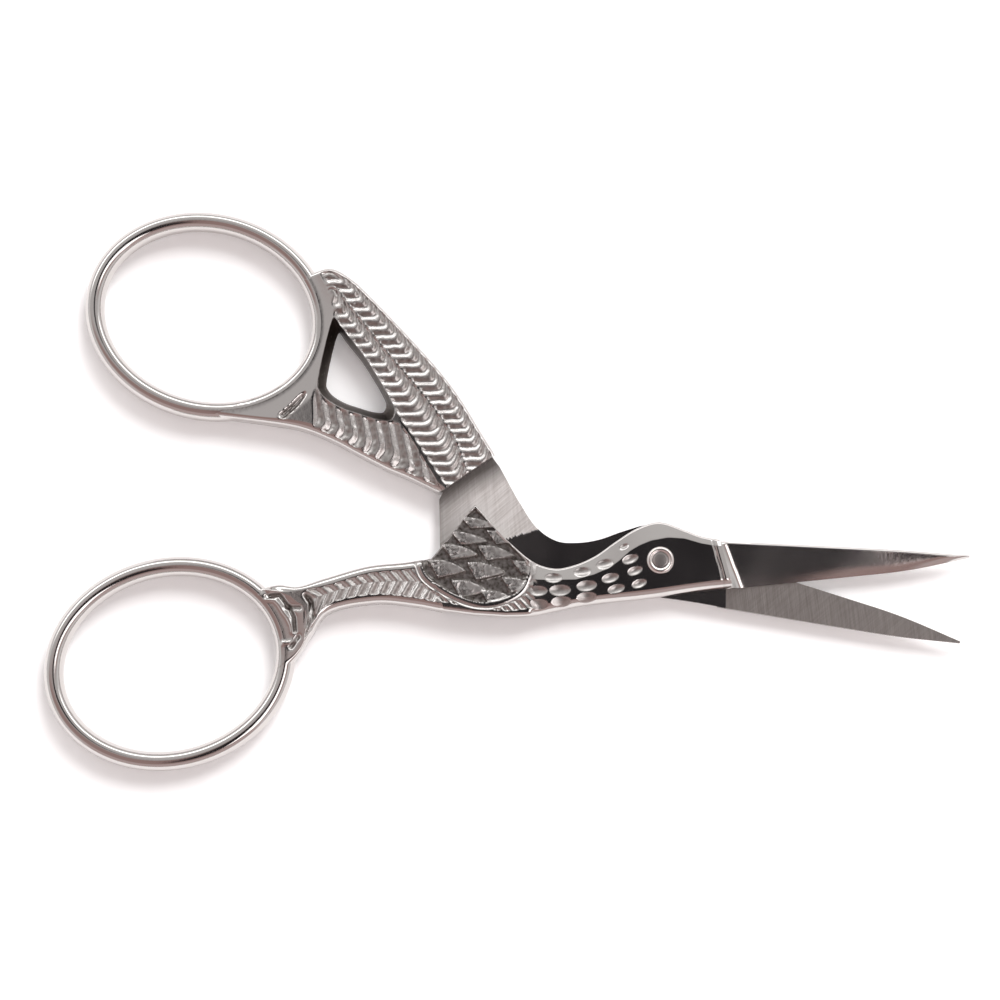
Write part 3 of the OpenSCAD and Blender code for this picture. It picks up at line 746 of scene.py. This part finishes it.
def maths(tree, operation, *inputs, clamp=False):
    made = node(tree, "ShaderNodeMath", dict(enumerate(inputs)), operation=operation, use_clamp=clamp)
    return made.outputs[0]


def mixed(tree, factor, low, high):  # colour low where the factor is 0, high where it is 1
    return node(tree, "ShaderNodeMix", {"Factor": factor, 6: low, 7: high}, data_type="RGBA").outputs[2]


# From low to high while the value goes from start to end
def ranged(tree, value, start, end, low=0.0, high=1.0, step="LINEAR"):
    made = node(tree, "ShaderNodeMapRange", {"Value": value, "From Min": start, "From Max": end,
                                             "To Min": low, "To Max": high}, interpolation_type=step)
    return made.outputs[0]


# Fine lines drawn along one direction: noise on coordinates that are stretched the other way
def strokeGroup():
    tree, given, out = group("groundLines", [
        ("Angle", "NodeSocketFloat", 0.0), ("Fineness", "NodeSocketFloat", 9000.0),
        ("Length", "NodeSocketFloat", 250.0), ("Seed", "NodeSocketFloat", 0.0)],
        [("Tone", "NodeSocketFloat")])
    place = node(tree, "ShaderNodeTexCoord").outputs["Object"]
    turn = node(tree, "ShaderNodeVectorRotate", {"Vector": place, "Angle": given["Angle"]},
                rotation_type="Z_AXIS")
    size = node(tree, "ShaderNodeCombineXYZ", {"X": given["Length"], "Y": given["Fineness"],
                                               "Z": given["Length"]})
    wide = node(tree, "ShaderNodeVectorMath", {0: turn.outputs[0], 1: size.outputs[0]}, operation="MULTIPLY")
    lines = node(tree, "ShaderNodeTexNoise", {"Vector": wide.outputs[0], "W": given["Seed"], "Scale": 1.0,
                                              "Detail": 3.0, "Roughness": 0.6}, noise_dimensions="4D")
    tree.links.new(ranged(tree, lines.outputs["Fac"], 0.35, 0.68), out["Tone"])
    return tree


# Soft unevenness left by polishing, and painted shade in the recesses, which are rougher too
def polishAndShadeGroup():
    tree, given, out = group("polishAndRecess", [
        ("Unshaded Colour", "NodeSocketColor", (0.8, 0.78, 0.76, 1)),
        ("Recess Shade Colour", "NodeSocketColor", (0.1, 0.09, 0.08, 1)),
        ("Recess Shade Amount", "NodeSocketFloat", 0.8), ("Smooth Roughness", "NodeSocketFloat", 0.1),
        ("Recess Roughness", "NodeSocketFloat", 0.45)],
        [("Colour", "NodeSocketColor"), ("Roughness", "NodeSocketFloat"), ("Height", "NodeSocketFloat")])
    place = node(tree, "ShaderNodeTexCoord").outputs["Object"]
    valley = node(tree, "ShaderNodeAttribute", attribute_name="valley").outputs["Fac"]
    spots = node(tree, "ShaderNodeTexNoise", {"Vector": place, "Scale": 2600.0, "Detail": 3.0}).outputs["Fac"]
    cloud = node(tree, "ShaderNodeTexNoise", {"Vector": place, "Scale": 160.0, "Detail": 2.0}).outputs["Fac"]
    # Painted shade: the valley attribute, broken up by fine spots, darkens the colour toward the recess shade
    # colour
    amount = maths(tree, "MULTIPLY", maths(tree, "MULTIPLY", valley, spots), given["Recess Shade Amount"])
    amount = maths(tree, "MULTIPLY", amount, 1.8, clamp=True)
    tree.links.new(mixed(tree, amount, given["Unshaded Colour"], given["Recess Shade Colour"]), out["Colour"])
    base = maths(tree, "MULTIPLY", ranged(tree, cloud, 0.3, 0.7, 0.8, 1.35), given["Smooth Roughness"])
    worn = ranged(tree, valley, 0.0, 0.3)
    rough = node(tree, "ShaderNodeMix", {"Factor": worn, 2: base, 3: given["Recess Roughness"]},
                 data_type="FLOAT")
    tree.links.new(rough.outputs[0], out["Roughness"])
    tree.links.new(maths(tree, "MULTIPLY_ADD", cloud, 0.8, spots), out["Height"])
    return tree


strokes, polishAndShade = strokeGroup(), polishAndShadeGroup()


def newMaterial(name):
    material = bpy.data.materials.new(name)
    material.use_nodes = True
    tree = material.node_tree
    shader = tree.nodes["Principled BSDF"]
    shader.inputs["Metallic"].default_value = 1.0
    return material, tree, shader


# recess: the colour of the painted shade in the recesses
nickel = {"colour": (0.64, 0.615, 0.60, 1), "recess": (0.12, 0.105, 0.095, 1), "roughness": 0.1,
          "recessRoughness": 0.3, "bump": 0.012}


# Polished plate, dented a little by the casting's unevenness. The bump is given in millimetres.
def nickelMaterial(name, look):
    material, tree, shader = newMaterial(name)
    # The group paints shade into the recesses where the valley attribute is high
    coat = node(tree, "ShaderNodeGroup", {
        "Unshaded Colour": look["colour"], "Recess Shade Colour": look["recess"],
        "Smooth Roughness": look["roughness"], "Recess Roughness": look["recessRoughness"]}, node_tree=polishAndShade)
    tree.links.new(coat.outputs["Colour"], shader.inputs["Base Color"])
    tree.links.new(coat.outputs["Roughness"], shader.inputs["Roughness"])
    dent = node(tree, "ShaderNodeBump", {"Height": coat.outputs["Height"], "Strength": 0.25,
                                         "Distance": look["bump"] * 0.001})
    tree.links.new(dent.outputs[0], shader.inputs["Normal"])
    return material


# Ground steel. Along each shade's direction the steel's share of the colour grows from the last number to 1,
# between two places in metres, and the rest is painted shade: painted shadow by the wing's step on the lap.
lapLook = {"light": (0.82, 0.80, 0.79, 1), "dark": (0.50, 0.47, 0.45, 1), "paintedShade": (0.05, 0.045, 0.04, 1),
           "roughness": (0.4, 0.55), "metallic": 0.6, "angles": (-40, 84),
           "shades": [((0.447, -0.894), -0.01616, -0.0141, 0.2), ((1, 0), -0.0226, -0.0185, 0.5)]}
# the blade's shade darkens its face left of 6.5 mm with the same painted shade
bladeLook = {"light": (0.37, 0.345, 0.33, 1), "dark": (0.25, 0.23, 0.22, 1), "paintedShade": (0.05, 0.045, 0.04, 1),
             "roughness": (0.4, 0.5), "metallic": 1.0, "angles": (84, -40),
             "shades": [((1, 0), 0.006, 0.0065, 0.7)]}


# Two crossing sets of grinding lines, the second coarser and fainter
def groundMaterial(name, look):
    material, tree, shader = newMaterial(name)
    shader.inputs["Metallic"].default_value = look["metallic"]
    angle, crossAngle = np.radians(look["angles"])
    main = node(tree, "ShaderNodeGroup", {"Angle": angle}, node_tree=strokes).outputs["Tone"]
    cross = node(tree, "ShaderNodeGroup", {"Angle": crossAngle, "Seed": 4.0, "Fineness": 5000.0},
                 node_tree=strokes).outputs["Tone"]
    lines = maths(tree, "MULTIPLY_ADD", cross, 0.35, maths(tree, "MULTIPLY", main, 0.65))
    place = node(tree, "ShaderNodeTexCoord").outputs["Object"]
    unshaded = 1.0
    for way, start, end, least in look["shades"]:
        along = node(tree, "ShaderNodeVectorMath", {0: place, 1: (*way, 0)}, operation="DOT_PRODUCT")
        unshaded = maths(tree, "MULTIPLY", ranged(tree, along.outputs["Value"], start, end, least), unshaded)
    # painted shade mixed in where the shades fall
    colour = mixed(tree, unshaded, look["paintedShade"], mixed(tree, lines, look["dark"], look["light"]))
    tree.links.new(colour, shader.inputs["Base Color"])
    tree.links.new(ranged(tree, main, 0.0, 1.0, *look["roughness"]), shader.inputs["Roughness"])
    dent = node(tree, "ShaderNodeBump", {"Height": lines, "Strength": 0.5, "Distance": 0.00002})
    tree.links.new(dent.outputs[0], shader.inputs["Normal"])
    return material


plate = nickelMaterial("nickelPlate", nickel)
rivetSteel = nickelMaterial("rivetSteel", {**nickel, "colour": (0.8, 0.75, 0.73, 1), "roughness": 0.2})
lapSteel = groundMaterial("groundLap", lapLook)
bladeSteel = groundMaterial("groundBlade", bladeLook)

# Faces in the lap plane are ground: as a lap left of the blade's start, as a blade right of it. The rear neck
# is polished instead, right of the plate's end and below a line through a point. All in metres.
lapFaces = {"slack": 4e-6, "bladeStart": 0.0065, "plateEnd": -0.0153, "linePoint": (-0.0148, 0.0025),
            "lineSlope": 0.3}


# Makes the piece: settles its mesh, gives each face its material and hangs it on its body
def piece(name, mesh, angle, body, replaced, materials, lapSide=0):
    settled(mesh, angle)
    mesh.materials.clear()
    for material in materials:
        mesh.materials.append(material)
    count = len(mesh.polygons)
    centre, normal = np.empty((count, 3)), np.empty((count, 3))
    mesh.polygons.foreach_get("center", centre.ravel())
    mesh.polygons.foreach_get("normal", normal.ravel())
    index = np.zeros(count, np.int32)
    if lapSide:
        x, y, z = centre.T
        lapZ = (halfThick - lapSide * lapGap) * 0.001
        flat = (np.abs(z - lapZ) < lapFaces["slack"]) & (np.abs(normal[:, 2]) > 0.99)
        index[flat] = np.where(x[flat] < lapFaces["bladeStart"], 1, 2)
        if lapSide > 0:
            lineX, lineY = lapFaces["linePoint"]
            onNeck = (x > lapFaces["plateEnd"]) & (x < lapFaces["bladeStart"])
            index[flat & onNeck & (y < lineY + lapFaces["lineSlope"] * (x - lineX))] = 0
    mesh.polygons.foreach_set("material_index", index)
    mesh.shade_smooth()
    mesh.set_sharp_from_angle(angle=np.radians(overall["smoothAngle"]))
    made = bpy.data.objects.new(name, mesh)
    bpy.context.scene.collection.objects.link(made)
    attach(made, body)
    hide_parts(replaced)
    print(name, len(mesh.polygons), "faces")
    return made


frontPiece = piece("frontForging", front, 0, "front", "front_half", [plate, lapSteel, bladeSteel], -1)
rearPiece = piece("rearForging", rear, -overall["openAngle"], "rear", "rear_half",
                  [plate, lapSteel, bladeSteel], 1)
rivetPiece = piece("pivotRivet", rivetSkin(), 0, "rear", "pivot_rivet", [rivetSteel])

# Floor: a level grid of paper, which is lifted to white for rays from the camera and from the metal
print("setting up floor, light and camera")
ground = {"half": 1.5, "points": 13, "level": -0.00003, "colour": (0.84, 0.835, 0.84, 1),
          "fibreColour": (0.97, 0.965, 0.97, 1), "fibreScale": 900.0, "lift": 0.17}
row = np.linspace(-ground["half"], ground["half"], ground["points"])
x, y = np.meshgrid(row, row, indexing="ij")
index = np.arange(x.size).reshape(x.shape)
corners = np.stack([index[:-1, :-1], index[1:, :-1], index[1:, 1:], index[:-1, 1:]], -1).reshape(-1, 4)
points = np.column_stack([x.ravel(), y.ravel(), np.full(x.size, ground["level"])])
floorMesh = bpy.data.meshes.new("floor")
floorMesh.from_pydata(points.tolist(), [], corners.tolist())
floor = bpy.data.objects.new("floor", floorMesh)
bpy.context.scene.collection.objects.link(floor)

paper = bpy.data.materials.new("paper")
paper.use_nodes = True
tree = paper.node_tree
shader = tree.nodes["Principled BSDF"]
shader.inputs["Roughness"].default_value = 0.9
shader.inputs["Specular IOR Level"].default_value = 0.1
place = node(tree, "ShaderNodeTexCoord").outputs["Object"]
fibre = node(tree, "ShaderNodeTexNoise", {"Vector": place, "Scale": ground["fibreScale"], "Detail": 4.0})
colour = mixed(tree, fibre.outputs["Fac"], ground["colour"], ground["fibreColour"])
tree.links.new(colour, shader.inputs["Base Color"])
seen = node(tree, "ShaderNodeLightPath").outputs
lift = maths(tree, "ADD", seen["Is Camera Ray"], seen["Is Glossy Ray"])
lift = maths(tree, "MULTIPLY", lift, ground["lift"])
glow = node(tree, "ShaderNodeEmission", {"Color": (1, 1, 1, 1), "Strength": lift})
total = node(tree, "ShaderNodeAddShader", {0: shader.outputs[0], 1: glow.outputs[0]})
tree.links.new(total.outputs[0], tree.nodes["Material Output"].inputs["Surface"])
floorMesh.materials.append(paper)

# Painted room round the scissors. Each zone is a colour and the fades whose product is its mask: the axis,
# where along it the fade is 0, and where it is 1. Later zones cover earlier ones.
room = {
    "ceiling": (0.58, 0.56, 0.555), "strength": 1.0,
    "zones": [
        ((0.38, 0.265, 0.25), ("Y", 0.2, -0.05)),  # warm near ceiling
        ((0.7, 0.69, 0.68), ("Y", 0.42, 0.6)),  # far ceiling
        ((0.7, 0.69, 0.68), ("Z", 0.72, 0.5)),  # walls
        ((0.57, 0.455, 0.44), ("Z", 0.72, 0.55), ("Y", -0.1, -0.45)),  # warm near wall
        ((3.0, 3.0, 3.0), ("Z", 0.7, 0.62), ("Z", 0.4, 0.48), ("Y", 0.25, 0.5)),  # window beyond the rings
        ((0.8, 0.78, 0.78), ("Z", 0.5, 0.42), ("Z", 0.12, 0.2), ("side", 0.6, 0.75)),  # windows at both sides
        # bright card beside the blades, and a dark shape over neck and blades
        ((2.4, 2.3, 2.3), ("X", 0.222, 0.24), ("X", 0.6, 0.5), ("Y", -0.6, -0.5), ("Y", 0.1, 0.0)),
        ((0.024, 0.022, 0.024), ("X", -0.12, -0.02), ("X", 0.212, 0.198), ("Y", -0.6, -0.5),
         ("Y", 0.34, 0.24)),
        ((0.66, 0.65, 0.655), ("Z", 0.14, 0.04)),  # horizon
    ],
}
world = bpy.data.worlds.new("studio")
bpy.context.scene.world = world
world.use_nodes = True
sky = world.node_tree
direction = node(sky, "ShaderNodeTexCoord").outputs["Generated"]
axes = dict(node(sky, "ShaderNodeSeparateXYZ", {0: direction}).outputs.items())
axes["side"] = maths(sky, "ABSOLUTE", axes["X"])
tone = (*room["ceiling"], 1)
for colour, *fades in room["zones"]:
    mask = 1.0
    for axis, start, end in fades:
        mask = maths(sky, "MULTIPLY", ranged(sky, axes[axis], start, end, step="SMOOTHSTEP"), mask)
    tone = mixed(sky, mask, tone, (*colour, 1))
seen = node(sky, "ShaderNodeLightPath").outputs["Is Camera Ray"]
background = sky.nodes["Background"]
sky.links.new(mixed(sky, seen, tone, (1, 1, 1, 1)), background.inputs["Color"])
background.inputs["Strength"].default_value = room["strength"]

# Soft light from the window. The metal mirrors the painted window instead of the lamp.
sunlight = {"strength": 1.9, "angle": 26, "lean": (-35, 25)}
sun = bpy.data.lights.new("window", "SUN")
sun.energy = sunlight["strength"]
sun.angle = np.radians(sunlight["angle"])
sunObject = bpy.data.objects.new("window", sun)
sunObject.visible_glossy = False
sunObject.rotation_euler = (*np.radians(sunlight["lean"]), 0)
bpy.context.scene.collection.objects.link(sunObject)

# Camera above the scissors, in metres, leaning back by the tilt toward the near side
overhead = {"lookAt": (-0.01593, 0.00621, 0.002), "distance": 0.3, "frameWidth": 0.1, "tilt": 8, "reach": 10}
view = bpy.data.cameras.new("overhead")
view.lens = view.sensor_width * overhead["distance"] / overhead["frameWidth"]
view.clip_end = overhead["reach"]
camera = bpy.data.objects.new("overhead", view)
tilt = np.radians(overhead["tilt"])
back = overhead["distance"] * np.array([0, -np.sin(tilt), np.cos(tilt)])
camera.location = np.array(overhead["lookAt"]) + back
camera.rotation_euler = (tilt, 0, 0)
bpy.context.scene.collection.objects.link(camera)
bpy.context.scene.camera = camera
bpy.context.scene.view_settings.view_transform = "Standard"
